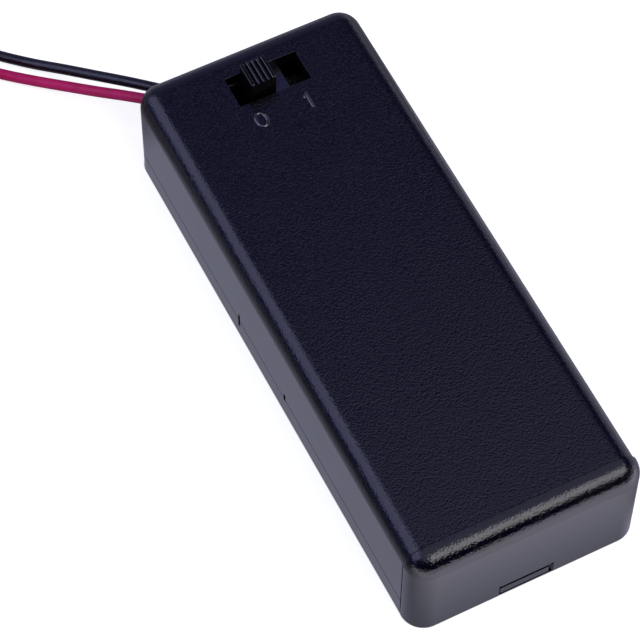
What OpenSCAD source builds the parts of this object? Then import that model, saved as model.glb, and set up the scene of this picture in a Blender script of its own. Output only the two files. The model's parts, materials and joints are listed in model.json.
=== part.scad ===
// Enclosed holder for two AAA cells side by side, with a slide-off cover, a slide switch
// and two flying leads. X runs across the case, +Y towards the lead end, +Z up to the
// switch side. The origin is on the resting surface, under the middle of the case.

/* [Case] */
// Overall width, measured across the cover's end cap
body_w = 27; // [26.6:0.2:32]
// Overall length, from the lead end to the outside of the end cap
body_l = 67; // [66:0.5:76]
// Height of the end cap above the resting surface
body_h = 13.6; // [13.4:0.2:16]
// Radius of the upright corners and of the edges round the top
corner_r = 2.6; // [2:0.1:3.2]
// Radius of the edge round the underside of the cover
foot_r = 0.2; // [0.1:0.1:0.7]
// How far the end cap stands proud of the housing's sides and top
cap_proud = 0.12; // [0.06:0.02:0.2]

/* [Housing walls] */
// Thickness of the housing's top wall, which carries the switch window
top_wall = 1.5; // [1.2:0.1:1.8]
// Thickness of the housing's side walls
side_wall = 1.7; // [1.6:0.1:1.8]
// Thickness of the wall that the leads pass through
lead_wall = 1.3; // [1:0.1:1.6]
// Thickness of the wall between the cell bays and the switch compartment
partition_t = 1.2; // [0.8:0.1:1.6]
// Thickness of the rib between the two cell bays
divider_t = 1.2; // [0.8:0.1:1.4]
// How far the divider hangs down from the ceiling
divider_drop = 6.5; // [4:0.5:8]
// Length of the switch compartment at the lead end
switch_room = 11.7; // [11.4:0.1:12]

/* [Cover] */
// Thickness of the cover's floor and of its end cap
cover_wall = 1.2; // [0.9:0.1:1.3]
// Height of the seam between the cover's side lips and the housing
lip_h = 2.65; // [2.5:0.05:3.4]
// Thickness of the side lips
lip_t = 0.8; // [0.7:0.05:0.9]
// How far the end cap wraps over the housing, measured from its outer face
wrap = 2.7; // [2.5:0.1:3.2]
// Visible gap along the seams
seam_gap = 0.1; // [0.08:0.02:0.2]
// Gap between the end cap's rim and the sides behind it
side_seam = 0.35; // [0.2:0.05:0.4]
// Clearance between the sliding faces of the cover and the housing
slide_gap = 0.1; // [0.06:0.02:0.14]
// Length of each rail hook on the side lips
hook_l = 7; // [4:0.5:9]
// How far a rail hook stands in from its lip
hook_depth = 0.3; // [0.2:0.05:0.35]
// Height of a rail hook
hook_h = 0.6; // [0.4:0.1:0.7]

/* [Snap tab] */
// Width of the notch in the end cap
notch_w = 6.4; // [5:0.2:9]
// Height of the notch above the resting surface
notch_h = 2.1; // [1.8:0.05:2.4]
// Width of the snap tab that lies in the notch
tab_w = 5.75; // [4:0.05:5.8]
// Length of the slits that free the snap tab
tab_l = 7; // [5:0.5:9]
// Gap on the closer side of the snap tab
tab_gap = 0.2; // [0.15:0.05:0.45]

/* [Cells] */
// Diameter of one cell
cell_d = 10.5; // [10.3:0.1:10.6]
// Clearance left round a cell in its bay
cell_gap = 0.1; // [0.05:0.01:0.15]

/* [Contacts] */
// Thickness of the contact plates
plate_t = 0.4; // [0.3:0.05:0.5]
// Room on each side of a contact plate in its bay
plate_side = 0.4; // [0.3:0.05:0.5]
// Height of the contact plates
plate_h = 8.4; // [7:0.2:9]
// Diameter of the raised button on a positive contact
button_d = 4.6; // [3.6:0.2:5]
// Height of the raised button
button_h = 0.9; // [0.6:0.1:1.1]
// Width of the tails that pass under the partition
tail_w = 3; // [2:0.2:3.6]

/* [Springs] */
// Wire diameter of the cell springs
spring_wire = 0.5; // [0.4:0.05:0.6]
// Free length of a cell spring
spring_l = 8; // [6:0.5:10]
// Radius of a cell spring at its plate
spring_r0 = 3.9; // [3.4:0.1:4.2]
// Radius of a cell spring at its free end
spring_r1 = 2.5; // [2:0.1:3]
// Number of turns in a cell spring
spring_turns = 5; // [4:1:6]

/* [Switch] */
// Length of the switch window across the case
window_l = 8.6; // [8:0.1:9.2]
// Width of the switch window along the case
window_w = 4; // [3.6:0.1:4.6]
// Distance from the middle of the window to the lead end
window_y = 5.95; // [5.4:0.05:6.2]
// Sideways offset of the window from the middle of the case
window_x = 0.3; // [-0.4:0.1:0.8]
// Travel of the switch slider
switch_travel = 2.4; // [1.6:0.1:2.8]
// Length of the slider's base plate
slider_l = 7; // [6.4:0.1:7.4]
// Width of the slider's base plate
slider_w = 6; // [5.2:0.1:6.2]
// Thickness of the slider's base plate
slider_t = 1; // [0.8:0.1:1.2]
// Length of the knob across the case
knob_l = 2.95; // [2.4:0.05:3.4]
// Width of the knob along the case
knob_w = 3.15; // [2.6:0.05:3.3]
// Height of the knob above the end cap's top
knob_rise = 2.2; // [1.2:0.1:3]
// Number of ridges across the top of the knob
knob_ridges = 5; // [3:1:7]
// Depth of the grooves between the ridges
knob_groove = 0.4; // [0.2:0.05:0.5]
// Clearance round the slider in its pocket
slider_gap = 0.1; // [0.06:0.02:0.14]

/* [Leads] */
// Outside diameter of a lead
lead_d = 1.25; // [1:0.05:1.4]
// Diameter of the bare conductor of a lead
core_d = 0.5; // [0.4:0.05:0.6]
// Radial clearance of a lead in its hole
lead_gap = 0.05; // [0.03:0.01:0.1]
// Height of the lead holes above the resting surface
lead_z = 4.9; // [4.8:0.1:5.4]
// Distance of the red lead's hole from the side of the case
lead_side = 4.2; // [3.9:0.1:4.5]
// Distance between the two lead holes
lead_pitch = 2.1; // [1.8:0.1:2.4]
// Length of the bare tinned end of a lead
tinned_l = 5; // [3:0.5:8]
// Radius of a lead's coil at the middle of its turns
coil_r = 6.9; // [6.6:0.1:7.2]
// Whole length of each lead outside the case, with its bare end
lead_l = 150; // [120:5:180]

/* [Hidden] */

$fn = 48;
eps = 0.01;
// A length longer than any wall, for cuts that run out into the open
beyond = 20;

plastic = [0.09, 0.09, 0.11];
nickel = [0.78, 0.77, 0.73];
red_pvc = [0.68, 0.12, 0.3];
black_pvc = [0.07, 0.07, 0.08];
solder = [0.72, 0.72, 0.74];

// Places along the case, from the end cap to the lead end
y_cap = -body_l / 2;
y_cap_in = y_cap + cover_wall;
y_neck = y_cap_in + seam_gap;
y_rim = y_cap + wrap;
y_shoulder = y_rim + seam_gap;
y_lead = body_l / 2;
y_switch1 = y_lead - lead_wall;
y_switch0 = y_switch1 - switch_room;
y_bay0 = y_shoulder;
y_bay1 = y_switch0 - partition_t;
y_window = y_lead - window_y;

// Widths and heights of the housing
house_w = body_w - 2 * cap_proud;
house_h = body_h - cap_proud;
inner_x = house_w / 2 - side_wall;
lip_x = house_w / 2 - lip_t;
skirt_x = lip_x - slide_gap;
neck_x = body_w / 2 - cover_wall - seam_gap;
neck_top = body_h - cover_wall - seam_gap;
skirt_z = cover_wall + slide_gap;
ledge_z = lip_h + seam_gap;
ceiling_z = house_h - top_wall;
divider_z = ceiling_z - divider_drop;

// Cells: axis height and the middle of each bay
cell_z = ceiling_z - cell_gap - cell_d / 2;
bay_x = (inner_x + divider_t / 2) / 2;
plate_w = inner_x - divider_t / 2 - 2 * plate_side;
plate_z1 = ceiling_z - 0.15;
plate_z0 = plate_z1 - plate_h;
plate_gap = 0.1;
keeper_d = 0.65;
keeper_t = 0.9;
scoop_r = 12;
scoop_rise = 3;

// Rails: hooks on the lips that run in a groove of the skirt
hook_z = (skirt_z + ledge_z) / 2 - hook_h / 2;
hook_count = 4;
hook_pitch = 13.5;
hook_y1 = y_lead - 10;
vent_from_lead = [26.5, 37.5];
groove_depth = hook_depth - slide_gap + 0.1;
vent_w = 0.4;
vent_below = [1.1, 0.2];
vent_above = [1.1, 0.9];
vent_depth = 0.6;

// Snap tab
tab_x0 = -notch_w / 2 - 0.15;
tab_lift = 0.35;
tab_drop = 0.7;
tab_recess = 0.12;

// Grip grooves across the underside
grip_n = 5;
grip_pitch = 1.9;
grip_w = 12;
grip_depth = 0.3;
grip_y = y_cap + 12;

// Slider pocket and contact strips under the window
slider_x = window_x - switch_travel / 2;
slider_top = ceiling_z - slider_gap;
slider_bot = slider_top - slider_t;
pocket_t = 0.7;
slider_slot = 1.2;
pocket_drop = 1.4;
boss_l = 3;
boss_w = 2.6;
boss_h = 0.8;
boss_bot = slider_bot - boss_h;
bridge_t = 0.2;
bridge_w = 1.6;
strip_t = plate_t;
strip_w = 1.6;
strip_y = 1.6;
bridge_reach = 1.53;
strip_top = boss_bot - bridge_reach;
strip_mid = strip_top - strip_t / 2;
foot_l = 2;
strip_a_x0 = slider_x - slider_l / 2 - 1.5 * foot_l;
strip_b_x0 = window_x + strip_t;
post_x = window_x + switch_travel / 2 + slider_l / 2 + slider_gap + pocket_t;
stake_in = 0.85;
stake_r = 0.4;
stake_gap = 0.05;
stake_head_r = 0.75;
stake_head_h = 0.35;
tail_side = 1.1;
tail_x = inner_x - tail_side - tail_w / 2;
tail_z = plate_z0 + plate_t / 2;
tail_gap = 0.2;
tail_stand = 0.3;
post_l = tail_x - post_x;
solder_w = 2.4;
solder_side = 0.6;
solder_x = inner_x - solder_side - solder_w;
solder_drop = 1.2;
solder_r = 0.9;
solder_h = 0.7;
bare_l = 1;
bend_r = 0.5;

// Leads
lead_r = lead_d / 2;
core_r = core_d / 2;
tinned_a = tinned_l / coil_r * 180 / PI;
black_run_y = y_window + strip_y + strip_w / 2 + core_r;
black_run_x = post_x + stake_in;
inner_bend = y_switch1 - black_run_y;
red_x = -body_w / 2 + lead_side;
black_x = red_x + lead_pitch;
tab_y = y_switch0 + tail_stand + plate_t;

// Routes of the leads outside the case: steps sideways and out from a lead's own hole, and
// heights above the resting surface
red_route = route(red_x, [
    [0, 0, lead_z], [-0.03, 1.5, 4.87], [-0.45, 2.7, 4.65], [-1.5, 3.8, 4.4], [-3.1, 5.6, 3.75],
    [-5.3, 8, 2.85], [-7.9, 10.9, 1.85], [-10.6, 13.7, 1.1], [-13.5, 16.6, 0.64],
    [-16.4, 19.5, lead_r], [-19.7, 22.7, lead_r]
]);
black_route = route(black_x, [
    [0, 0, lead_z], [-0.03, 1.5, 4.87], [-0.55, 3.1, 4.65], [-1.7, 4.5, 4.4], [-3.9, 6.9, 3.9],
    [-6.5, 9.8, 3.08], [-9.1, 12.9, 2.03], [-11.8, 16, 1], [-14.6, 18.9, 0.64],
    [-17.5, 21.9, lead_r], [-20.6, 25, lead_r], [-23.8, 28.2, lead_r]
]);
function route(x, steps) = [for (p = steps) [x + p[0], y_lead + p[1], p[2]]];

// Each coil is joined where its lead's last straight runs into it along a diagonal
red_coil = coil_centre(red_route, 1);
black_coil = coil_centre(black_route, -1);
function coil_centre(path, side) =
    let (p = path[len(path) - 1]) [p[0] - side * coil_r * sqrt(0.5), p[1] - side * coil_r * sqrt(0.5)];
coil_pitch = 1.05 * lead_d;
// The red coil turns to the left from 45 degrees, the black one to the right from 225
red_turns = coil_turns(red_route);
black_turns = coil_turns(black_route);
red_end_a = 45 + 360 * red_turns;
black_end_a = 225 - 360 * black_turns;

// Length of a path, and the turns that the rest of a lead makes in its coil
function path_l(path) = sum([for (i = [1:len(path) - 1]) norm(path[i] - path[i - 1])]);
function sum(v, i = 0) = i < len(v) ? v[i] + sum(v, i + 1) : 0;
function coil_turns(route) =
    (lead_l - tinned_l - path_l(route)) / norm([2 * PI * coil_r, coil_pitch]);
function coil_end_z(turns) = lead_r + coil_pitch * turns;

function unit(v) = v / norm(v);

// Direction of a path at point i
function heading(path, i) =
    unit(path[min(i + 1, len(path) - 1)] - path[max(i - 1, 0)]);

// Ring of n points about one point of a path, with ref as the sideways reference
function ring(p, t, ref, r, n) =
    let (u = unit(cross(t, ref)), v = cross(u, t))
    [for (k = [0:n - 1]) p + r * (cos(360 * k / n) * u + sin(360 * k / n) * v)];

// Round tube of radius r swept along a path
module tube(path, r, n = 8, ref = [0, 0, 1]) {
    m = len(path);
    pts = [for (i = [0:m - 1]) each ring(path[i], heading(path, i), ref, r, n)];
    sides = [
        for (i = [0:m - 2], k = [0:n - 1])
            [i * n + k, i * n + (k + 1) % n, (i + 1) * n + (k + 1) % n, (i + 1) * n + k]
    ];
    caps = [[for (k = [n - 1:-1:0]) k], [for (k = [0:n - 1]) (m - 1) * n + k]];
    polyhedron(points = pts, faces = concat(sides, caps), convexity = 6);
}

// Outline from an axis out to r, rounded by top_r at the top and by foot at the bottom
module edge_outline(r, z0, z1, top_r, foot) {
    difference() {
        translate([0, z0]) square([r, z1 - z0]);
        if (top_r > 0)
            translate([r - top_r, z1 - top_r]) difference() {
                square(top_r + 1);
                circle(top_r);
            }
        if (foot > 0)
            translate([r - foot, z0 + foot]) difference() {
                translate([0, -foot - 1]) square(foot + 1);
                circle(foot);
            }
    }
}

// Block with rounded upright corners, and its top and bottom edges rounded all round
module moulded_block(w, y0, y1, z0, z1, r, top_r, foot) {
    run = [y1 - y0 - 2 * r, w - 2 * r];
    at = [[1, 1], [-1, 1], [-1, -1], [1, -1]];
    for (k = [0:3])
        translate([at[k][0] * (w / 2 - r), at[k][1] > 0 ? y1 - r : y0 + r, 0])
            rotate([0, 0, 90 * k]) {
                rotate_extrude(angle = 90) edge_outline(r, z0, z1, top_r, foot);
                rotate([90, 0, 0])
                    linear_extrude(run[k % 2]) edge_outline(r, z0, z1, top_r, foot);
            }
    translate([-w / 2 + r, y0 + r, z0]) cube([run[1], run[0], z1 - z0]);
}

// Everything on the -Y side of a plane
module before(y) {
    translate([-body_w, y - body_l - beyond, -beyond])
        cube([2 * body_w, body_l + beyond, body_h + 2 * beyond]);
}

// Everything on the +Y side of a plane
module behind(y) {
    translate([-body_w, y, -beyond]) cube([2 * body_w, body_l + beyond, body_h + 2 * beyond]);
}

// Box given by its two corners
module span(a, b) {
    translate(a) cube(b - a);
}

// Flat strip folded along a path: points in the plane, thickness t, bends of radius r
function turn_arc(a, b, c, r, steps = 4) =
    let (
        u = unit(a - b), v = unit(c - b),
        half = acos(u * v) / 2,
        d = r / tan(half),
        mid = b + unit(u + v) * r / sin(half),
        p = b + u * d - mid, q = b + v * d - mid
    )
    [for (i = [0:steps]) mid + unit(p * (1 - i / steps) + q * i / steps) * r];

function filleted(pts, r) = concat(
    [pts[0]],
    [for (i = [1:len(pts) - 2]) each turn_arc(pts[i - 1], pts[i], pts[i + 1], r)],
    [pts[len(pts) - 1]]
);

function flank(path, side) = [
    for (i = [0:len(path) - 1])
        let (t = heading(path, i)) path[i] + side * [-t[1], t[0]]
];

module folded(pts, t, w, r) {
    path = filleted(pts, r);
    back = flank(path, -t / 2);
    linear_extrude(w)
        polygon(concat(flank(path, t / 2), [for (i = [len(back) - 1:-1:0]) back[i]]));
}

// The same strip stood up so that its path lies in the YZ plane and its width along +X
module folded_yz(x, pts, t, w, r = bend_r) {
    translate([x, 0, 0]) rotate([90, 0, 90]) folded(pts, t, w, r);
}

// ---- Housing ---------------------------------------------------------------

module housing_outside() {
    difference() {
        moulded_block(house_w, y_cap, y_lead, ledge_z, house_h, corner_r, corner_r, 0);
        before(y_shoulder);
    }
    // Neck that the end cap slides over
    difference() {
        moulded_block(
            2 * neck_x, y_neck, y_lead, skirt_z, neck_top,
            corner_r - cover_wall, corner_r - cover_wall, 0
        );
        behind(y_shoulder);
    }
    // Skirt that stands inside the cover's side lips
    difference() {
        span([-skirt_x, y_shoulder, skirt_z], [skirt_x, y_lead, ledge_z]);
        lead_corner_cut();
    }
}

// What the upright corners at the lead end take off the skirt
module lead_corner_cut() {
    for (s = [-1, 1])
        translate([s * (house_w / 2 - corner_r), y_lead - corner_r, 0])
            difference() {
                translate([s > 0 ? 0 : -beyond, 0, 0]) cube([beyond, beyond, ledge_z]);
                translate([0, 0, -1]) cylinder(r = corner_r, h = ledge_z + 2);
            }
}

module housing() {
    color(plastic) {
        difference() {
            housing_outside();
            // Cell bays, open at the bottom
            span([-inner_x, y_bay0, -eps], [inner_x, y_bay1, ceiling_z]);
            // Switch compartment
            span([-inner_x, y_switch0, -eps], [inner_x, y_switch1, ceiling_z]);
            // Window for the switch knob
            span(
                [window_x - window_l / 2, y_window - window_w / 2, ceiling_z - 1],
                [window_x + window_l / 2, y_window + window_w / 2, house_h + 1]
            );
            // Holes for the two leads
            for (x = [red_x, black_x])
                translate([x, y_lead + 1, lead_z])
                    rotate([90, 0, 0]) cylinder(r = lead_r + lead_gap, h = lead_wall + 2);
            // Notches for the terminal tails under the partition
            for (x = [red_x, tail_x])
                span(
                    [x - tail_w / 2 - tail_gap, y_bay1 - 1, -eps],
                    [x + tail_w / 2 + tail_gap, y_switch0 + 1, tail_z + plate_t / 2 + 2 * tail_gap]
                );
            // Core-outs over those in the cover's lips
            for (i = [0:len(vent_from_lead) - 1])
                side_slots(
                    y_lead - vent_from_lead[i], vent_w, house_w / 2 - vent_depth,
                    ledge_z - eps, ledge_z + vent_above[i]
                );
            // Wider seam down each side, behind the rim of the end cap
            side_slots(y_rim, side_seam, house_w / 2 - vent_depth, ledge_z - eps, body_h - corner_r);
            // Grooves for the cover's rail hooks
            for (s = [-1, 1])
                span(
                    [s > 0 ? skirt_x - groove_depth : -beyond,
                     y_neck - 1, hook_z - slide_gap],
                    [s > 0 ? beyond : -skirt_x + groove_depth,
                     hook_y1 + slide_gap * 2, hook_z + hook_h + slide_gap]
                );
        }
        divider();
        for (s = [-1, 1]) plate_keepers(s);
        slider_pocket();
        strip_posts();
    }
}

// Rib between the bays, with a scoop for lifting a cell out; it stops short of the link plate
module divider() {
    y0 = y_bay0 + plate_t + plate_gap;
    difference() {
        span([-divider_t / 2, y0, divider_z], [divider_t / 2, y_bay1, ceiling_z]);
        translate([0, (y_bay0 + y_bay1) / 2, divider_z - scoop_r + scoop_rise])
            rotate([0, 90, 0]) cylinder(r = scoop_r, h = divider_t + 2, center = true);
    }
}

// Keepers that hold the edges of the contact plates
module plate_keepers(s) {
    low = s > 0 ? divider_t / 2 : -inner_x;
    high = s > 0 ? inner_x : -divider_t / 2;
    for (
        y = [y_bay0 + plate_t + plate_gap, y_bay1 - plate_t - plate_gap - keeper_t],
        x = [low, high - keeper_d]
    )
        span([x, y, cell_z - 1], [x + keeper_d, y + keeper_t, ceiling_z]);
}

// Frame under the window that guides the slider and stops it at each end
module slider_pocket() {
    x0 = slider_x - slider_l / 2 - slider_gap;
    x1 = slider_x + switch_travel + slider_l / 2 + slider_gap;
    hw = slider_w / 2 + slider_gap;
    difference() {
        span(
            [x0 - pocket_t, y_window - hw - pocket_t, ceiling_z - pocket_drop],
            [x1 + pocket_t, y_window + hw + pocket_t, ceiling_z]
        );
        span([x0, y_window - hw, ceiling_z - pocket_drop - 1], [x1, y_window + hw, ceiling_z + eps]);
    }
}

// Posts that carry the contact strips, with heat-staked pegs through the strips
module strip_posts() {
    span(
        [strip_a_x0, y_window - strip_y - strip_w / 2, strip_top],
        [strip_a_x0 + foot_l, y_window - strip_y + strip_w / 2, ceiling_z]
    );
    span(
        [post_x, y_window - strip_y - strip_w / 2, strip_top],
        [post_x + post_l, y_window + strip_y + strip_w / 2, ceiling_z]
    );
    for (p = stakes_a()) stake(p);
    for (p = stakes_b()) stake(p);
}

function stakes_a() = [
    [strip_a_x0 + foot_l / 2, y_window - strip_y],
    [post_x + stake_in, y_window - strip_y]
];

function stakes_b() = [
    for (x = [post_x + stake_in, post_x + post_l - stake_in]) [x, y_window + strip_y]
];

module stake(p) {
    translate([p[0], p[1], strip_top - strip_t]) cylinder(r = stake_r, h = strip_t);
    translate([p[0], p[1], strip_top - strip_t - stake_head_h])
        cylinder(r1 = stake_head_r * 0.6, r2 = stake_head_r, h = stake_head_h);
}

// ---- Cover -----------------------------------------------------------------

module slide_cover() {
    color(plastic) {
        difference() {
            union() {
                // End cap
                difference() {
                    moulded_block(body_w, y_cap, y_lead, 0, body_h, corner_r, corner_r, foot_r);
                    behind(y_rim);
                }
                // Floor and side lips
                difference() {
                    moulded_block(house_w, y_cap, y_lead, 0, lip_h, corner_r, 0, foot_r);
                    before(y_rim);
                }
            }
            // Room for the housing's neck inside the cap
            moulded_block(
                body_w - 2 * cover_wall, y_cap_in, y_lead + beyond, cover_wall,
                body_h - cover_wall, corner_r - cover_wall, corner_r - cover_wall, 0
            );
            // Room for the skirt between the lips
            span([-lip_x, y_rim, cover_wall], [lip_x, y_lead + beyond, body_h]);
            // Relief between the cap and each lip
            side_slots(y_rim, side_seam, lip_x, -1, lip_h + eps);
            snap_tab_slits();
            lip_vents();
            grip_grooves();
        }
        snap_tab_end();
        rail_hooks();
    }
}

// Notch in the cap, and the two slits that free the tab
module snap_tab_slits() {
    span([tab_x0, y_cap - 1, -1], [tab_x0 + notch_w, y_cap_in + eps, notch_h]);
    span([tab_x0, y_cap - 1, -1], [tab_x0 + tab_gap, y_cap + tab_l, cover_wall + 1]);
    span(
        [tab_x0 + tab_gap + tab_w, y_cap - 1, -1],
        [tab_x0 + notch_w, y_cap + tab_l, cover_wall + 1]
    );
}

// Thick end of the tab, which fills the notch
module snap_tab_end() {
    x0 = tab_x0 + tab_gap;
    span([x0, y_cap + tab_recess, tab_lift], [x0 + tab_w, y_cap_in - 0.1, notch_h - tab_drop]);
    span([x0, y_cap_in - 0.2, tab_lift], [x0 + tab_w, y_cap_in + 0.5, cover_wall]);
}

// Slot of width w through both sides, from half-width x out, between two heights
module side_slots(y, w, x, z0, z1) {
    for (s = [-1, 1])
        span([s > 0 ? x : -beyond, y, z0], [s > 0 ? beyond : -x, y + w, z1]);
}

// Small core-outs in the top edge of each lip, which meet those in the housing's walls
module lip_vents() {
    for (i = [0:len(vent_from_lead) - 1])
        side_slots(
            y_lead - vent_from_lead[i], vent_w, lip_x - eps, lip_h - vent_below[i], lip_h + 1
        );
}

module grip_grooves() {
    for (k = [0:grip_n - 1])
        translate([0, grip_y + k * grip_pitch, 0]) rotate([0, 90, 0])
            cylinder(r = grip_depth, h = grip_w, center = true);
}

module rail_hooks() {
    for (s = [-1, 1], k = [0:hook_count - 1])
        let (y = hook_y1 - hook_l - k * hook_pitch)
            span(
                [s > 0 ? lip_x - hook_depth : -lip_x - eps, y, hook_z],
                [s > 0 ? lip_x + eps : -lip_x + hook_depth, y + hook_l, hook_z + hook_h]
            );
}

// ---- Switch ----------------------------------------------------------------

module switch_slider() {
    knob_top = body_h + knob_rise;
    pitch = knob_l / knob_ridges;
    crest = pitch * 0.3;
    ridges = [
        for (i = [0:knob_ridges - 1])
            let (x = (i + 0.5) * pitch - knob_l / 2)
                each concat(
                    i == 0 ? [] : [[x - pitch / 2, knob_top - knob_groove]],
                    [[i == 0 ? -knob_l / 2 : x - crest / 2, knob_top],
                     [i == knob_ridges - 1 ? knob_l / 2 : x + crest / 2, knob_top]]
                )
    ];
    color(plastic) translate([slider_x, y_window, 0]) {
        // Plate, cut away beside the knob
        difference() {
            span([-slider_l / 2, -slider_w / 2, slider_bot], [slider_l / 2, slider_w / 2, slider_top]);
            span(
                [-knob_l / 2 - slider_slot, -window_w / 2, slider_bot - eps],
                [-knob_l / 2, window_w / 2, slider_top + eps]
            );
        }
        translate([0, knob_w / 2, 0]) rotate([90, 0, 0]) linear_extrude(knob_w)
            polygon(concat(ridges, [[knob_l / 2, slider_top - eps], [-knob_l / 2, slider_top - eps]]));
        // Boss that carries the bridge, with its staked peg
        span([-boss_l / 2, -boss_w / 2, boss_bot], [boss_l / 2, boss_w / 2, slider_bot + eps]);
        translate([0, 0, boss_bot - bridge_t]) cylinder(r = stake_r, h = bridge_t + eps);
        translate([0, 0, boss_bot - bridge_t - 0.25])
            cylinder(r1 = stake_r, r2 = stake_r + 0.2, h = 0.25);
    }
}

// Sprung bridge under the slider: one finger on each contact strip
module switch_bridge() {
    arm_z = boss_bot - bridge_t / 2;
    touch_z = strip_top + 0.05 + bridge_t / 2;
    half = [[strip_y - 0.7, arm_z], [strip_y, touch_z], [strip_y + 0.75, touch_z + 0.6]];
    path = concat(
        [for (i = [2:-1:0]) [-half[i][0], half[i][1]]],
        half
    );
    color(nickel) translate([slider_x - bridge_w / 2, y_window, 0])
        difference() {
            folded_yz(0, path, bridge_t, bridge_w, 0.25);
            translate([bridge_w / 2, 0, arm_z - 1]) cylinder(r = stake_r + stake_gap, h = 2);
        }
}

// ---- Contacts --------------------------------------------------------------

// Dished button on a plate; dir is the way it points along Y
module button(x, y, dir) {
    r = (pow(button_d / 2, 2) + pow(button_h, 2)) / (2 * button_h);
    translate([x, y + dir * (button_h - r), cell_z]) difference() {
        sphere(r = r, $fn = 64);
        translate([-2 * r, dir > 0 ? -2 * r : -r + button_h, -2 * r])
            cube([4 * r, 3 * r - button_h, 4 * r]);
    }
}

// Plate across both bays at the cap end: spring on the left cell, button on the right
module series_link() {
    y = y_bay0;
    color(nickel) {
        difference() {
            span([-bay_x - plate_w / 2, y, plate_z0], [bay_x + plate_w / 2, y + plate_t, plate_z1]);
            // Relief between the two halves
            span([-1, y - 1, plate_z0 - 1], [1, y + 1, cell_z - 1]);
        }
        button(bay_x, y + plate_t, 1);
    }
}

// Left bay at the lead end: button for the cell, tail for the red lead
module positive_terminal() {
    y = y_bay1;
    color(nickel) {
        span([-bay_x - plate_w / 2, y - plate_t, plate_z0 + 1], [-bay_x + plate_w / 2, y, plate_z1]);
        button(-bay_x, y - plate_t, -1);
        folded_yz(red_x - tail_w / 2, [
            [y - plate_t / 2, plate_z0 + 3], [y - plate_t / 2, tail_z],
            [tab_y - plate_t / 2, tail_z], [tab_y - plate_t / 2, lead_z + solder_drop]
        ], plate_t, tail_w);
    }
}

// Right bay at the lead end: spring for the cell, and the switch's long contact strip
module negative_terminal() {
    y = y_bay1;
    color(nickel) {
        span([bay_x - plate_w / 2, y - plate_t, plate_z0 + 1], [bay_x + plate_w / 2, y, plate_z1]);
        folded_yz(tail_x - tail_w / 2, [
            [y - plate_t / 2, plate_z0 + 3], [y - plate_t / 2, tail_z],
            [tab_y - plate_t / 2, tail_z], [tab_y - plate_t / 2, strip_mid],
            [y_window - strip_y + strip_w / 2, strip_mid]
        ], plate_t, tail_w);
        difference() {
            span(
                [strip_a_x0, y_window - strip_y - strip_w / 2, strip_top - strip_t],
                [tail_x - tail_w / 2 + eps, y_window - strip_y + strip_w / 2, strip_top]
            );
            for (p = stakes_a()) stake_hole(p);
        }
    }
}

// Short contact strip, met by the bridge only when the switch is on; black lead's tail
module switch_terminal() {
    y = y_window + strip_y;
    color(nickel) {
        difference() {
            span(
                [strip_b_x0, y - strip_w / 2, strip_top - strip_t],
                [solder_x + eps, y + strip_w / 2, strip_top]
            );
            for (p = stakes_b()) stake_hole(p);
        }
        folded_yz(solder_x, [
            [y - strip_w / 2, strip_mid], [y + strip_w / 2 - strip_t / 2, strip_mid],
            [y + strip_w / 2 - strip_t / 2, lead_z - solder_drop]
        ], strip_t, solder_w);
    }
}

module stake_hole(p) {
    translate([p[0], p[1], strip_top - strip_t - 1]) cylinder(r = stake_r + stake_gap, h = strip_t + 2);
}

// Conical cell spring; t runs from 0 at the plate to 1 at the free end
function spring_point(t, dir) =
    let (
        a = 360 * spring_turns * t,
        rise = min(max((t * spring_turns - 0.8) / (spring_turns - 1.6), 0), 1),
        r = spring_r0 + (spring_r1 - spring_r0) * rise,
        seat = spring_wire / 2 - 0.02,
        y = seat + min(t * spring_turns, 1) * 0.55 * spring_wire
            + rise * (spring_l - spring_wire * 1.6)
    )
    [r * cos(a), dir * y, r * sin(a)];

module cell_spring(x, y, dir) {
    steps = spring_turns * 14;
    color(nickel) translate([x, y, cell_z])
        tube([for (i = [0:steps]) spring_point(i / steps, dir)], spring_wire / 2, 6, [0, dir, 0]);
}

module near_spring() {
    cell_spring(-bay_x, y_bay0 + plate_t, 1);
}

module far_spring() {
    cell_spring(bay_x, y_bay1 - plate_t, -1);
}

// ---- Leads -----------------------------------------------------------------

// Solder dome standing on a terminal, pointing along +Y
module solder_dome(x, y, z) {
    translate([x, y, z]) rotate([-90, 0, 0])
        cylinder(r1 = solder_r, r2 = solder_r * 0.45, h = solder_h);
}

module solder_joints() {
    color(solder) {
        solder_dome(red_x, tab_y, lead_z);
        solder_dome(solder_x + solder_w / 2, y_window + strip_y + strip_w / 2, lead_z);
    }
}

module red_lead_inner() {
    color(red_pvc) translate([red_x, y_lead, lead_z]) rotate([90, 0, 0])
        cylinder(r = lead_r, h = y_lead - tab_y - solder_h - bare_l);
}

module red_core_inner() {
    color(solder) translate([red_x, tab_y, lead_z]) rotate([-90, 0, 0])
        cylinder(r = core_r, h = solder_h + bare_l);
}

module black_lead_inner() {
    color(black_pvc) {
        translate([black_x, y_lead, lead_z]) rotate([90, 0, 0]) cylinder(r = lead_r, h = lead_wall);
        translate([black_x + inner_bend, y_switch1, lead_z]) rotate([0, 0, 180])
            rotate_extrude(angle = 90) translate([inner_bend, 0]) circle(r = lead_r);
        translate([black_x + inner_bend, black_run_y, lead_z]) rotate([0, 90, 0])
            cylinder(r = lead_r, h = black_run_x - black_x - inner_bend);
    }
}

module black_core_inner() {
    color(solder) translate([black_run_x, black_run_y, lead_z]) rotate([0, 90, 0])
        cylinder(r = core_r, h = solder_x + solder_w - black_run_x);
}

module red_lead() {
    color(red_pvc) tube(red_route, lead_r);
}

module black_lead() {
    color(black_pvc) tube(black_route, lead_r);
}

// Closed ring that a neat coil of the lead fills, up to the bare end that lies along it
module coil_ring(at, turns) {
    translate([at[0], at[1], 0]) rotate_extrude()
        translate([coil_r - lead_r, 0]) square([lead_d, coil_end_z(turns) - core_r]);
}

module red_lead_coil() {
    color(red_pvc) coil_ring(red_coil, red_turns);
}

module black_lead_coil() {
    color(black_pvc) coil_ring(black_coil, black_turns);
}

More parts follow.
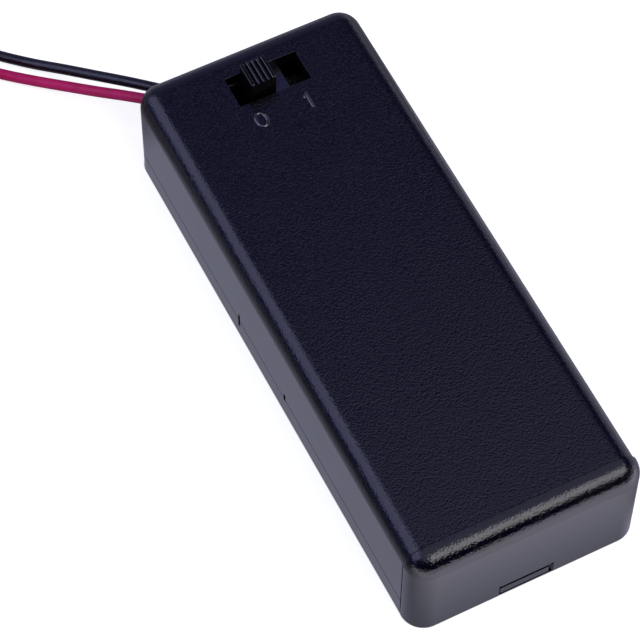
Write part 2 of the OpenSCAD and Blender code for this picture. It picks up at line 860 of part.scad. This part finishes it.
// Bare end of a lead, an arc along the top of its coil from angle a
module tinned_end(at, turns, a) {
    translate([at[0], at[1], coil_end_z(turns) - 0.01]) rotate([0, 0, a])
        rotate_extrude(angle = tinned_a) translate([coil_r, 0]) circle(r = core_r);
}

module red_tinned_end() {
    color(solder) tinned_end(red_coil, red_turns, red_end_a);
}

module black_tinned_end() {
    color(solder) tinned_end(black_coil, black_turns, black_end_a - tinned_a);
}

housing();
slide_cover();
switch_slider();
switch_bridge();
series_link();
positive_terminal();
negative_terminal();
switch_terminal();
near_spring();
far_spring();
solder_joints();
red_lead_inner();
red_core_inner();
black_lead_inner();
black_core_inner();
red_lead();
red_lead_coil();
red_tinned_end();
black_lead();
black_lead_coil();
black_tinned_end();
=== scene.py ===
"""Looks of a closed holder for two AAA cells, with a slide switch and two flying leads.

Everything is in metres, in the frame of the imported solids: X runs across the case, +Y
towards the lead end, +Z up to the switch side, and the case lies on z = 0.
"""

import json
import math

import bmesh
import bpy
import numpy as np
from mathutils import Matrix, Vector

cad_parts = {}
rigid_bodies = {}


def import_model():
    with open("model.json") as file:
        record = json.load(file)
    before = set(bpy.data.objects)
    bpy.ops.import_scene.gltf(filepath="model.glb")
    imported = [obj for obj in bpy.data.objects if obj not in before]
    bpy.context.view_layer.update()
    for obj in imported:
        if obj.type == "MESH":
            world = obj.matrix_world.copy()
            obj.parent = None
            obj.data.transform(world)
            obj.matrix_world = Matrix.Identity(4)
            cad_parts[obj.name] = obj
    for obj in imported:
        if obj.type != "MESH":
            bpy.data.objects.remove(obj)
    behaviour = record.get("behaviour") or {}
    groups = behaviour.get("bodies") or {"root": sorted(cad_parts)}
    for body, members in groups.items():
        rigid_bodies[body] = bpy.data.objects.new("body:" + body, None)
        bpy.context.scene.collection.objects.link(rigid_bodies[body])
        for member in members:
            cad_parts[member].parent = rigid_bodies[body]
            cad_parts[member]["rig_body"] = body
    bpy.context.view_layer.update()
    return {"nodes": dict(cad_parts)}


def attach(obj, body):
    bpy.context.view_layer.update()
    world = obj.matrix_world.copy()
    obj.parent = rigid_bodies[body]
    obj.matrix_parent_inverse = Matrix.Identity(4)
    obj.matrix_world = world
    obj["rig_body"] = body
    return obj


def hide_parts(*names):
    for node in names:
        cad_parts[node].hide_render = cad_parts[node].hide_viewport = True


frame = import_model()
MM = 0.001

# Case in millimetres: half width and length, upright corners, plain top and knob crests
HALF_W, HALF_L, CORNER_R = 13.5, 33.5, 2.6
CASE_TOP = 13.48
PLATE_TOP = 11.88
KNOB_TOP = 15.8
# Boxes about the switch window, the notch and the lips' seams, short of the outer faces; faces in
# them are painted in shade
WINDOW = ((-4.1, 25.4, 11.5), (4.7, 29.7, 13.3))
NOTCH = ((-3.4, -33.3, -0.1), (3.1, -30, 2.15))
SEAMS = ((-13.4, -31, 2.5), (13.4, 33, 3.1))


# ---- Camera ----------------------------------------------------------------

AIM = Vector((-0.00667, 0.0011, 0.0068))
AZIMUTH, ELEVATION, ROLL = (math.radians(a) for a in (-27.416, 59.036, 0.627))
DISTANCE = 0.3381
LENS_MM, SENSOR_MM = 178, 36


def place_camera():
    """Camera on a line from AIM at AZIMUTH and ELEVATION, turned about that line by ROLL."""
    back = Vector((
        math.sin(AZIMUTH) * math.cos(ELEVATION),
        -math.cos(AZIMUTH) * math.cos(ELEVATION),
        math.sin(ELEVATION),
    ))
    level = Vector((math.cos(AZIMUTH), math.sin(AZIMUTH), 0))
    right = level * math.cos(ROLL) + back.cross(level) * math.sin(ROLL)
    data = bpy.data.cameras.new("camera")
    data.sensor_width = SENSOR_MM
    data.lens = LENS_MM
    camera = bpy.data.objects.new("camera", data)
    bpy.context.scene.collection.objects.link(camera)
    turn = Matrix((right, back.cross(right), back)).transposed()
    camera.matrix_world = Matrix.Translation(AIM + back * DISTANCE) @ turn.to_4x4()
    bpy.context.scene.camera = camera


place_camera()


# ---- Leads -----------------------------------------------------------------

LEAD_END = 33.5
LEAD_R = 0.625
CORE_R = 0.25
LEAD_L = 150
TINNED_L = 5
COIL_R = 6.9
COIL_PITCH = 1.3125
RED_X, BLACK_X = -9.3, -7.2
RED_RUN = (
    (0, 0, 4.9), (-0.03, 1.5, 4.87), (-0.45, 2.7, 4.65), (-1.5, 3.8, 4.4), (-3.1, 5.6, 3.75),
    (-5.3, 8, 2.85), (-7.9, 10.9, 1.85), (-10.6, 13.7, 1.1), (-13.5, 16.6, 0.64),
    (-16.4, 19.5, LEAD_R), (-19.7, 22.7, LEAD_R),
)
BLACK_RUN = (
    (0, 0, 4.9), (-0.03, 1.5, 4.87), (-0.55, 3.1, 4.65), (-1.7, 4.5, 4.4), (-3.9, 6.9, 3.9),
    (-6.5, 9.8, 3.08), (-9.1, 12.9, 2.03), (-11.8, 16, 1), (-14.6, 18.9, 0.64),
    (-17.5, 21.9, LEAD_R), (-20.6, 25, LEAD_R), (-23.8, 28.2, LEAD_R),
)


def smooth_path(points, steps=4):
    """Catmull-Rom curve through the points, with steps samples from each to the next."""
    p = np.array(points, float)
    p = np.vstack([2 * p[0] - p[1], p, 2 * p[-1] - p[-2]])
    t = np.arange(steps)[:, None] / steps
    a, b, c, d = p[:-3, None], p[1:-2, None], p[2:-1, None], p[3:, None]
    span = 0.5 * (
        2 * b + (c - a) * t + (2 * a - 5 * b + 4 * c - d) * t**2
        + (3 * b - a - 3 * c + d) * t**3
    )
    return np.vstack([span.reshape(-1, 3), p[-2]])


def path_length(points):
    return np.linalg.norm(np.diff(points, axis=0), axis=1).sum()


def coil_of(start, side, length, first=0.0):
    """Helix about a centre on the start point's diagonal: side 1 turns left, -1 right.

    The angle grows by length over the helix's own length for a radian, and the height
    by the pitch for a turn. It starts first radians round.
    """
    centre = start[:2] - side * COIL_R * math.sqrt(0.5)
    rise = COIL_PITCH / math.tau
    whole = length / math.hypot(COIL_R, rise)
    a = np.linspace(first, first + whole, max(3, int(whole / math.tau * 40)))
    angle = (math.pi / 4 if side > 0 else 5 * math.pi / 4) + side * a
    return np.column_stack([
        centre[0] + COIL_R * np.cos(angle), centre[1] + COIL_R * np.sin(angle),
        LEAD_R + rise * a,
    ])


def round_wire(name, points, radius, material):
    """Curve of one open spline through points in millimetres, with a round section."""
    data = bpy.data.curves.new(name, "CURVE")
    data.dimensions = "3D"
    data.bevel_depth = radius * MM
    data.bevel_resolution = 5
    data.use_fill_caps = True
    spline = data.splines.new("POLY")
    spline.points.add(len(points) - 1)
    flat = np.column_stack([points * MM, np.ones(len(points))]).astype(np.float32)
    spline.points.foreach_set("co", flat.ravel())
    spline.use_smooth = True
    wire = bpy.data.objects.new(name, data)
    bpy.context.scene.collection.objects.link(wire)
    data.materials.append(material)
    return wire


# ---- Materials -------------------------------------------------------------


def linear(hex_colour):
    """sRGB hex to linear RGBA."""
    c = [int(hex_colour[i:i + 2], 16) / 255 for i in (1, 3, 5)]
    return [v / 12.92 if v <= 0.04045 else ((v + 0.055) / 1.055) ** 2.4 for v in c] + [1]


def add(tree, kind, links=None, **settings):
    """Adds a node; settings are its properties or sockets, links are sockets to join."""
    n = tree.nodes.new("ShaderNode" + kind)
    for key, value in settings.items():
        if key in n.bl_rna.properties:
            setattr(n, key, value)
        else:
            n.inputs[key.replace("_", " ")].default_value = value
    for key, source in (links or {}).items():
        tree.links.new(source, n.inputs[key])
    return n


def math_node(tree, operation, *terms):
    """Output of a Math node; a term is a socket or a number."""
    n = add(tree, "Math", operation=operation)
    for i, term in enumerate(terms):
        if isinstance(term, (int, float)):
            n.inputs[i].default_value = term
        else:
            tree.links.new(term, n.inputs[i])
    return n.outputs[0]


def ramp(tree, source, start, end, low, high, kind="LINEAR", unit=MM):
    """Goes from low to high while a coordinate goes from start to end, then stays.

    Start and end are in millimetres, or in the unit given.
    """
    return add(tree, "MapRange", {0: source}, From_Min=start * unit, From_Max=end * unit,
               To_Min=float(low), To_Max=float(high), interpolation_type=kind).outputs[0]


def new_material(name, **settings):
    """Material with a Principled shader; returns its tree and the shader."""
    m = bpy.data.materials.new(name)
    m.use_nodes = True
    m.node_tree.nodes.clear()
    shader = add(m.node_tree, "BsdfPrincipled")
    for key, value in settings.items():
        shader.inputs[key.replace("_", " ")].default_value = value
    add(m.node_tree, "OutputMaterial", {"Surface": shader.outputs[0]})
    return m, m.node_tree, shader


def mottle(tree, size_mm, low, high, stretch=(1, 1, 1)):
    """Noise of a real size in millimetres on the piece itself, spread from low to high."""
    place = add(tree, "TexCoord")
    laid = add(tree, "Mapping", {"Vector": place.outputs["Object"]}, Scale=stretch)
    noise = add(tree, "TexNoise", {"Vector": laid.outputs[0]}, Scale=1 / (size_mm * MM),
                Detail=2.0, Roughness=0.55)
    return add(tree, "MapRange", {0: noise.outputs[0]}, From_Min=0.3, From_Max=0.7,
               To_Min=low, To_Max=high).outputs[0]


def height_band(tree, start_mm, end_mm, low, high):
    """Runs smoothly from low to high between two heights above the table."""
    place = add(tree, "TexCoord")
    axis = add(tree, "SeparateXYZ", {0: place.outputs["Object"]})
    return ramp(tree, axis.outputs[2], start_mm, end_mm, low, high, "SMOOTHSTEP")


def relief(tree, shader, height, depth_mm, strength=None):
    """Surface relief of a real depth, which can fade by a strength socket."""
    bump = add(tree, "Bump", {"Height": height}, Distance=depth_mm * MM, Strength=1.0)
    if strength:
        tree.links.new(strength, bump.inputs["Strength"])
    tree.links.new(bump.outputs[0], shader.inputs["Normal"])


def grained_abs(name, colour, grain_mm, depth_mm, rough, fade=None, shine=0.5):
    """Black ABS moulded in a spark-eroded tool: fine leathery grain with a soft sheen.

    The tool's side walls are draw-polished, so the grain fades out below the heights in fade.
    """
    m, tree, shader = new_material(name, Base_Color=linear(colour), IOR=1.5,
                                   Specular_IOR_Level=shine)
    place = add(tree, "TexCoord")
    pebbles = add(tree, "TexNoise", {"Vector": place.outputs["Object"]},
                  Scale=1 / (grain_mm * MM), Detail=1.0, Roughness=0.5)
    cells = add(tree, "TexVoronoi", {"Vector": place.outputs["Object"]},
                Scale=1 / (1.6 * grain_mm * MM), feature="SMOOTH_F1", Smoothness=0.6)
    mix = add(tree, "Math", {0: pebbles.outputs[0], 1: cells.outputs[0]}, operation="SUBTRACT")
    strength = height_band(tree, *fade, 0.1, 1.0) if fade else None
    relief(tree, shader, mix.outputs[0], depth_mm, strength)
    gloss = mottle(tree, 6, rough - 0.03, rough + 0.03)
    tree.links.new(gloss, shader.inputs["Roughness"])
    return m


def knob_abs_painted_light(name, colour, highlight_colour, plate_mm, crest_mm):
    """Black ABS knob from a smooth tool, as two copies mixed by height.

    A dull one with little sheen is painted shade on the knob's sides; a lighter one with a
    strong sheen is painted highlight on its plate and on its crests' edges.
    """
    m, tree, dull = new_material(name, IOR=1.5, Specular_IOR_Level=0.14,
                                 Base_Color=linear(colour))
    # The lit copy, lighter and with a strong sheen, is painted highlight
    bright = add(tree, "BsdfPrincipled", IOR=1.5, Specular_IOR_Level=1.0,
                 Base_Color=linear(highlight_colour))
    for shader, low, high in ((dull, 0.4, 0.55), (bright, 0.16, 0.26)):
        tree.links.new(mottle(tree, 1.5, low, high), shader.inputs["Roughness"])
        relief(tree, shader, mottle(tree, 0.3, 0, 1), 0.003)
    # Painted highlight on the plate and on the crests' edges, short of their tops
    painted_highlight_mask = math_node(tree, "ADD", height_band(tree, plate_mm + 0.1, plate_mm + 0.02, 0, 1),
                         height_band(tree, crest_mm - 0.13, crest_mm - 0.09, 0, 1))
    painted_highlight_mask = math_node(tree, "SUBTRACT", painted_highlight_mask,
                         height_band(tree, crest_mm - 0.03, crest_mm - 0.005, 0, 1))
    both = add(tree, "MixShader", {0: painted_highlight_mask, 1: dull.outputs[0], 2: bright.outputs[0]})
    tree.links.new(both.outputs[0], tree.nodes["Material Output"].inputs["Surface"])
    return m


def rolled_metal(name, bright, dull, rough, grain, grain_mm):
    """Plated metal: fine working marks along its grain, with duller, slightly tarnished spots."""
    m, tree, shader = new_material(name, Metallic=1.0)
    shade = add(tree, "Mix", {"Factor": mottle(tree, 1.8, 0.0, 0.7)}, data_type="RGBA")
    shade.inputs["A"].default_value = linear(bright)
    shade.inputs["B"].default_value = linear(dull)
    tree.links.new(shade.outputs["Result"], shader.inputs["Base Color"])
    tree.links.new(mottle(tree, grain_mm, rough - 0.08, rough + 0.08, grain),
                   shader.inputs["Roughness"])
    relief(tree, shader, mottle(tree, grain_mm, 0, 1, grain), 0.004)
    return m


def sleeve_pvc(name, colour, faded, rough, sheen=0.5):
    """Soft PVC drawn through a die: near smooth, with a slight waviness and handling scuffs."""
    m, tree, shader = new_material(name, IOR=1.53, Specular_IOR_Level=sheen)
    shade = add(tree, "Mix", {"Factor": mottle(tree, 1.2, 0.0, 1.0)}, data_type="RGBA")
    shade.inputs["A"].default_value = linear(colour)
    shade.inputs["B"].default_value = linear(faded)
    tree.links.new(shade.outputs["Result"], shader.inputs["Base Color"])
    tree.links.new(mottle(tree, 0.5, rough - 0.06, rough + 0.06), shader.inputs["Roughness"])
    relief(tree, shader, mottle(tree, 0.7, 0, 1), 0.02)
    return m


# Case: ABS, spark-eroded tool, soft sheen broken by the grain. The real grain is near 0.1 mm
# and is drawn half as coarse again, so that it still shows at this distance.
case_black = grained_abs("black_abs_spark_eroded", "#020204", 0.15, 0.02, 0.13, (9.4, 11.8))
# Walls of the window, the slits and the seams: the same ABS made darker and without sheen,
# painted shade in these hollows and gaps
painted_shade_black = grained_abs("black_abs_painted_shade", "#010102", 0.3, 0.004, 0.5, shine=0.14)
# Knob: ABS from a smooth tool, dull black as painted shade, with painted highlight on its plate
# and crests' edges
knob_black_painted_light = knob_abs_painted_light("black_abs_knob_painted_light", "#010102", "#131318", PLATE_TOP, KNOB_TOP)
# Contact strips: nickel-plated spring steel, cold rolled; lines along the strip, soft reflection
nickel = rolled_metal("nickel_plated_strip", "#c9c5ba", "#a39c8c", 0.3, (4, 4, 0.3), 0.25)
# Springs and rivets: nickel-plated steel wire, drawn bright
spring_steel = rolled_metal("bright_drawn_wire", "#bdbcb8", "#94928c", 0.24, (1, 1, 1), 0.2)
# Solder joints and tinned ends: lead-free tin, frozen with a frosty, slightly dimpled skin
tin = rolled_metal("tin_solder", "#b9babd", "#8d8f94", 0.36, (1, 1, 1), 0.35)
# Lead sleeves: plasticised PVC, drawn through a die, half gloss
red_pvc = sleeve_pvc("crimson_pvc_sleeve", "#cc1166", "#b80f5a", 0.45, 0.3)
black_pvc = sleeve_pvc("black_pvc_sleeve", "#020204", "#050508", 0.28)

FINISH = {
    "housing": case_black, "slide_cover": case_black, "switch_slider": knob_black_painted_light,
    "switch_bridge": nickel, "series_link": nickel, "positive_terminal": nickel,
    "negative_terminal": nickel, "switch_terminal": nickel,
    "near_spring": spring_steel, "far_spring": spring_steel, "solder_joints": tin,
    "red_core_inner": tin, "black_core_inner": tin, "red_tinned_end": tin,
    "black_tinned_end": tin, "red_lead_inner": red_pvc, "black_lead_inner": black_pvc,
    "red_lead": red_pvc, "red_lead_coil": red_pvc, "black_lead": black_pvc,
    "black_lead_coil": black_pvc,
}
for name, obj in frame["nodes"].items():
    obj.data.materials.clear()
    obj.data.materials.append(FINISH[name])


# ---- Moulded pieces --------------------------------------------------------


def soften(node, width, name, *shade_boxes):
    """Copy of a moulded solid with its sharp outer edges rounded, standing for the node.

    Flat triangles are merged to whole faces first, then each edge sharper than 30 degrees
    is cut back by width and rounded. Faces whose middle lies in one of the shade boxes, each
    given by two corners in millimetres, get the darker black without sheen: painted shade.
    """
    solid = frame["nodes"][node]
    mesh = bmesh.new()
    mesh.from_mesh(solid.data)
    bmesh.ops.remove_doubles(mesh, verts=mesh.verts, dist=1e-6)
    bmesh.ops.dissolve_limit(mesh, angle_limit=math.radians(0.5), verts=mesh.verts,
                             edges=mesh.edges)
    data = bpy.data.meshes.new(name)
    mesh.to_mesh(data)
    mesh.free()
    data.shade_smooth()
    data.materials.append(FINISH[node])
    data.materials.append(painted_shade_black)
    # Faces in the boxes take the second material, painted shade
    for face in data.polygons:
        place = np.array(face.center) / MM
        if any(np.all((place > low) & (place < high)) for low, high in shade_boxes):
            face.material_index = 1
    piece = bpy.data.objects.new(name, data)
    bpy.context.scene.collection.objects.link(piece)
    edge = piece.modifiers.new("moulded_edges", "BEVEL")
    edge.width = width * MM
    edge.segments = 3
    edge.limit_method = "ANGLE"
    edge.angle_limit = math.radians(30)
    edge.use_clamp_overlap = False
    edge.harden_normals = True
    flat = piece.modifiers.new("flat_faces", "WEIGHTED_NORMAL")
    flat.keep_sharp = True
    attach(piece, solid["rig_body"])
    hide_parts(node)
    return piece


soften("housing", 0.03, "housing_moulding", WINDOW, SEAMS)
soften("slide_cover", 0.03, "cover_moulding", NOTCH, SEAMS)
soften("switch_slider", 0.11, "switch_knob")


# ---- Switch marks ----------------------------------------------------------

# The marks' lines along the case and their places across it, in millimetres
MARK_BASE, MARK_MID, MARK_TOP = 21.9, 23.0, 24.1
ZERO_X, ONE_X = -2.7, 3.1
# Half of a stroke's section: distance from its middle, and height over the case
STROKE = ((0, 0.16), (0.055, 0.145), (0.135, 0.09), (0.21, 0.04), (0.23, -0.03))


def zero_mark(x, n=40):
    """Closed centre line of a 0: an ellipse about x."""
    a = np.linspace(0, math.tau, n, endpoint=False)
    return np.column_stack([x + 0.6 * np.cos(a), MARK_MID + 0.9 * np.sin(a)])


def one_mark(x):
    """Two strokes of a 1: the stem at x, and the flag that falls back from its head."""
    stem = [(x, MARK_BASE), (x, MARK_TOP)]
    flag = [(x, MARK_TOP - 0.2), (x - 0.5, MARK_TOP - 0.65)]
    return stem, flag


def ridge(line, closed):
    """Raised stroke: a low bank with sloping sides carried along a centre line.

    Its section, across and up, runs from one foot over a narrower crown to the other.
    """
    line = np.array(line, float)
    if not closed:
        steps = max(2, int(np.linalg.norm(line[-1] - line[0]) / 0.15))
        line = line[0] + np.linspace(0, 1, steps)[:, None] * (line[-1] - line[0])
        along = np.broadcast_to(line[-1] - line[0], line.shape)
    else:
        along = np.roll(line, -1, 0) - np.roll(line, 1, 0)
    along = along / np.linalg.norm(along, axis=1)[:, None]
    across = np.column_stack([-along[:, 1], along[:, 0]])
    section = np.array([(-x, z) for x, z in STROKE[:0:-1]] + list(STROKE))
    n, m = len(line), len(section)
    xy = line[:, None] + section[None, :, :1] * across[:, None]
    z = np.broadcast_to(CASE_TOP + section[:, 1], (n, m))
    points = np.dstack([xy, z]).reshape(-1, 3)
    i, k = np.meshgrid(np.arange(n if closed else n - 1), np.arange(m), indexing="ij")
    j, l = (i + 1) % n, (k + 1) % m
    faces = np.stack([i * m + k, j * m + k, j * m + l, i * m + l], -1).reshape(-1, 4).tolist()
    if not closed:
        faces += [list(range(m - 1, -1, -1)), list(range((n - 1) * m, n * m))]
    return points, faces


def mark_switch():
    """0 and 1 raised on the top beside the switch window, at its off and on ends."""
    strokes = [(zero_mark(ZERO_X), True)] + [(line, False) for line in one_mark(ONE_X)]
    points, faces = np.empty((0, 3)), []
    for line, closed in strokes:
        p, f = ridge(line, closed)
        faces += [[v + len(points) for v in face] for face in f]
        points = np.vstack([points, p])
    data = bpy.data.meshes.new("switch_marks")
    data.from_pydata((points * MM).tolist(), [], faces)
    data.shade_smooth()
    data.materials.append(mark_black_painted_highlight)
    piece = bpy.data.objects.new("switch_marks", data)
    bpy.context.scene.collection.objects.link(piece)
    mesh = bmesh.new()
    mesh.from_mesh(data)
    bmesh.ops.recalc_face_normals(mesh, faces=mesh.faces)
    mesh.to_mesh(data)
    mesh.free()
    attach(piece, "case")


# Marks: the same ABS off a polished cut in the tool, smooth; their lighter colour and stronger
# sheen than the case are painted highlight
mark_black_painted_highlight = grained_abs("black_abs_marks_painted_highlight", "#101014", 0.3, 0.003, 0.2, shine=1.0)
mark_switch()


# ---- Leads laid out --------------------------------------------------------


def lay_lead(colour, x, run, side, material):
    """One lead: its run out of the case, its coil, and the tinned end that goes on round."""
    path = smooth_path([(x + p[0], LEAD_END + p[1], p[2]) for p in run])
    wound = LEAD_L - TINNED_L - path_length(path)
    coil = coil_of(path[-1], side, wound)
    sleeve = round_wire(f"{colour}_lead_sleeve", np.vstack([path, coil[1:]]), LEAD_R, material)
    turned = wound / math.hypot(COIL_R, COIL_PITCH / math.tau)
    tip = coil_of(path[-1], side, TINNED_L, turned)
    strands = round_wire(f"{colour}_tinned_strands", tip, CORE_R, tin)
    for piece in (sleeve, strands):
        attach(piece, "case")
    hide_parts(f"{colour}_lead", f"{colour}_lead_coil")
    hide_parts(f"{colour}_tinned_end")


lay_lead("red", RED_X, RED_RUN, 1, red_pvc)
lay_lead("black", BLACK_X, BLACK_RUN, -1, black_pvc)


# ---- Stage and light -------------------------------------------------------


# What the floor adds to its own brightness before the camera, and how bright the table is in
# reflections: near the case, far from it, and in front of it
CAMERA_LIFT = 0.75
TABLE_NEAR, TABLE_FAR, TABLE_FRONT = 0.56, 0.1, 2.1
# The case's shade on the table, to its right and behind it: axis, the case's side, then two
# distances from the middle in millimetres and the brightness at each
SHADES = ((0, HALF_W, 15, 40, 0.25, 0.85), (1, HALF_L, 36, 75, 0.3, 0.5))


def build_stage():
    """Pale floor: white to the camera and in reflections, with the object's soft shadow."""
    data = bpy.data.meshes.new("floor")
    # It lies a hair low, so that it doesn't coincide with the case's flat underside
    s, z = 3.0, -0.02 * MM
    data.from_pydata([(-s, -s, z), (s, -s, z), (s, s, z), (-s, s, z)], [], [(0, 1, 2, 3)])
    floor = bpy.data.objects.new("floor", data)
    bpy.context.scene.collection.objects.link(floor)
    m = bpy.data.materials.new("matt_white_paper")
    m.use_nodes = True
    tree = m.node_tree
    tree.nodes.clear()
    ray = add(tree, "LightPath")
    mirrored = add(tree, "Math", {0: ray.outputs["Is Glossy Ray"],
                                  1: ray.outputs["Is Transmission Ray"]}, operation="MAXIMUM")
    place = add(tree, "TexCoord")
    spot = add(tree, "SeparateXYZ", {0: place.outputs["Object"]})
    # Distance out from the middle of the case's footprint, whose upright corners are round
    outs = []
    for axis, half in ((0, HALF_W - CORNER_R), (1, HALF_L - CORNER_R)):
        size = math_node(tree, "ABSOLUTE", spot.outputs[axis])
        outs.append(math_node(tree, "MAXIMUM", math_node(tree, "SUBTRACT", size, half * MM), 0.0))
    corner = add(tree, "CombineXYZ", {0: outs[0], 1: outs[1]})
    away = add(tree, "VectorMath", {0: corner.outputs[0]}, operation="LENGTH")
    away = math_node(tree, "SUBTRACT", away.outputs["Value"], CORNER_R * MM)
    # The floor is black right under the case, where the real one is in its shade
    clear = ramp(tree, away, -0.15, 0, 0, 1)
    lift = math_node(tree, "MULTIPLY", ray.outputs["Is Camera Ray"], CAMERA_LIFT)
    paper = add(tree, "BsdfDiffuse", Color=linear("#e6e6e6"))
    glow = add(tree, "Emission", {"Strength": lift}, Color=linear("#ffffff"))
    both = add(tree, "AddShader", {0: paper.outputs[0], 1: glow.outputs[0]})
    under = add(tree, "BsdfDiffuse", Color=linear("#020202"))
    both = add(tree, "MixShader", {0: clear, 1: under.outputs[0], 2: both.outputs[0]})
    # In reflections the table is lit near the case, most of all in front of it, and lies in the
    # case's shade close to its right side and behind it
    level = ramp(tree, away, 12, 60, TABLE_NEAR, TABLE_FAR, "SMOOTHSTEP")
    for axis, edge, start, end, low, high in SHADES:
        past = ramp(tree, spot.outputs[axis], edge - 1, edge + 4, 0, 1, "SMOOTHSTEP")
        shade = math_node(tree, "MULTIPLY", past,
                          ramp(tree, spot.outputs[axis], start, end, low, high))
        level = math_node(tree, "MULTIPLY", math_node(tree, "SUBTRACT", 1.0, past), level)
        level = math_node(tree, "ADD", shade, level)
    front = ramp(tree, spot.outputs[1], -32.5, -54, 0, TABLE_FRONT)
    shaded = add(tree, "Emission", {"Strength": level}, Color=linear("#dfe0ff"))
    lit = add(tree, "Emission", {"Strength": front}, Color=linear("#f2eeff"))
    table = add(tree, "AddShader", {0: shaded.outputs[0], 1: lit.outputs[0]})
    surface = add(tree, "MixShader", {0: mirrored.outputs[0], 1: both.outputs[0],
                                      2: table.outputs[0]})
    # Seen from below it is clear, so that the case's underside shows
    side = add(tree, "NewGeometry")
    through = add(tree, "BsdfTransparent")
    surface = add(tree, "MixShader", {0: side.outputs["Backfacing"], 1: surface.outputs[0],
                                      2: through.outputs[0]})
    add(tree, "OutputMaterial", {"Surface": surface.outputs[0]})
    data.materials.append(m)


def softbox(name, direction, distance, size, power, colour):
    """Rectangular lamp at a distance along a direction from the case, facing it."""
    data = bpy.data.lights.new(name, "AREA")
    data.shape = "RECTANGLE"
    data.size, data.size_y = size
    data.energy = power
    data.color = linear(colour)[:3]
    lamp = bpy.data.objects.new(name, data)
    bpy.context.scene.collection.objects.link(lamp)
    toward = Vector(direction).normalized()
    lamp.location = toward * distance
    lamp.rotation_euler = toward.to_track_quat("Z", "Y").to_euler()


def light_world():
    """Dim studio for reflections and diffuse light; white where the camera looks past."""
    world = bpy.data.worlds.new("studio")
    bpy.context.scene.world = world
    world.use_nodes = True
    tree = world.node_tree
    tree.nodes.clear()
    ray = add(tree, "LightPath")
    toward = add(tree, "TexCoord")
    axis = add(tree, "SeparateXYZ", {0: toward.outputs["Generated"]})
    right, ahead, up = axis.outputs
    # Dim and bluish all round, darker in front, far ahead and to the right
    ambient = ramp(tree, ahead, -0.75, 0.2, 0.3, 1.0, "SMOOTHSTEP", 1)
    ambient = math_node(tree, "MULTIPLY", ambient, ramp(tree, ahead, 0.4, 0.5, 1, 0.8, unit=1))
    ambient = math_node(tree, "MULTIPLY", ambient, ramp(tree, right, 0.25, 0.4, 1, 0.6, unit=1))
    # Overhead there is spill from the front softbox
    spill = math_node(tree, "ADD", ramp(tree, ahead, 0.45, 0.37, 0, 0.64, "SMOOTHSTEP", 1),
                      ramp(tree, ahead, 0.36, 0.0, 0, 0.05, unit=1))
    spill = math_node(tree, "MULTIPLY", spill, ramp(tree, up, 0.6, 0.8, 0, 1, "SMOOTHSTEP", 1))
    # The room is lighter beyond the lead end, and a pale wall stands low on the right
    beyond = ramp(tree, ahead, 0.5, 0.7, 0, 0.2, "SMOOTHSTEP", 1)
    spill = math_node(tree, "ADD", spill, beyond)
    wall = math_node(tree, "MULTIPLY", ramp(tree, right, 0.48, 0.8, 0, 1.6, "SMOOTHSTEP", 1),
                     ramp(tree, up, 0.4, 0.1, 0, 0.5, "SMOOTHSTEP", 1))
    spill = math_node(tree, "ADD", spill, wall)
    soft = add(tree, "Background", Color=linear("#dfe4f2"), Strength=0.3)
    ceiling = add(tree, "Background", {"Strength": ambient}, Color=linear("#4e51a6"))
    spilt = add(tree, "Background", {"Strength": spill}, Color=linear("#ebe9ff"))
    dim = add(tree, "AddShader", {0: ceiling.outputs[0], 1: spilt.outputs[0]})
    white = add(tree, "Background", Color=linear("#ffffff"), Strength=1.0)
    studio = add(tree, "MixShader", {0: ray.outputs["Is Glossy Ray"], 1: soft.outputs[0],
                                     2: dim.outputs[0]})
    past = add(tree, "Math", {0: ray.outputs["Is Camera Ray"],
                              1: ray.outputs["Is Transmission Ray"]}, operation="MAXIMUM")
    whole = add(tree, "MixShader", {0: past.outputs[0], 1: studio.outputs[0],
                                    2: white.outputs[0]})
    add(tree, "OutputWorld", {"Surface": whole.outputs[0]})


build_stage()
light_world()
softbox("front_softbox", (0.293, -0.55, 0.782), 0.9, (0.7, 0.43), 3.1, "#fffcff")
softbox("left_softbox", (-0.71, 0.345, 0.58), 0.9, (0.95, 0.62), 2.9, "#d0d3ff")
bpy.context.scene.view_settings.view_transform = "Standard"
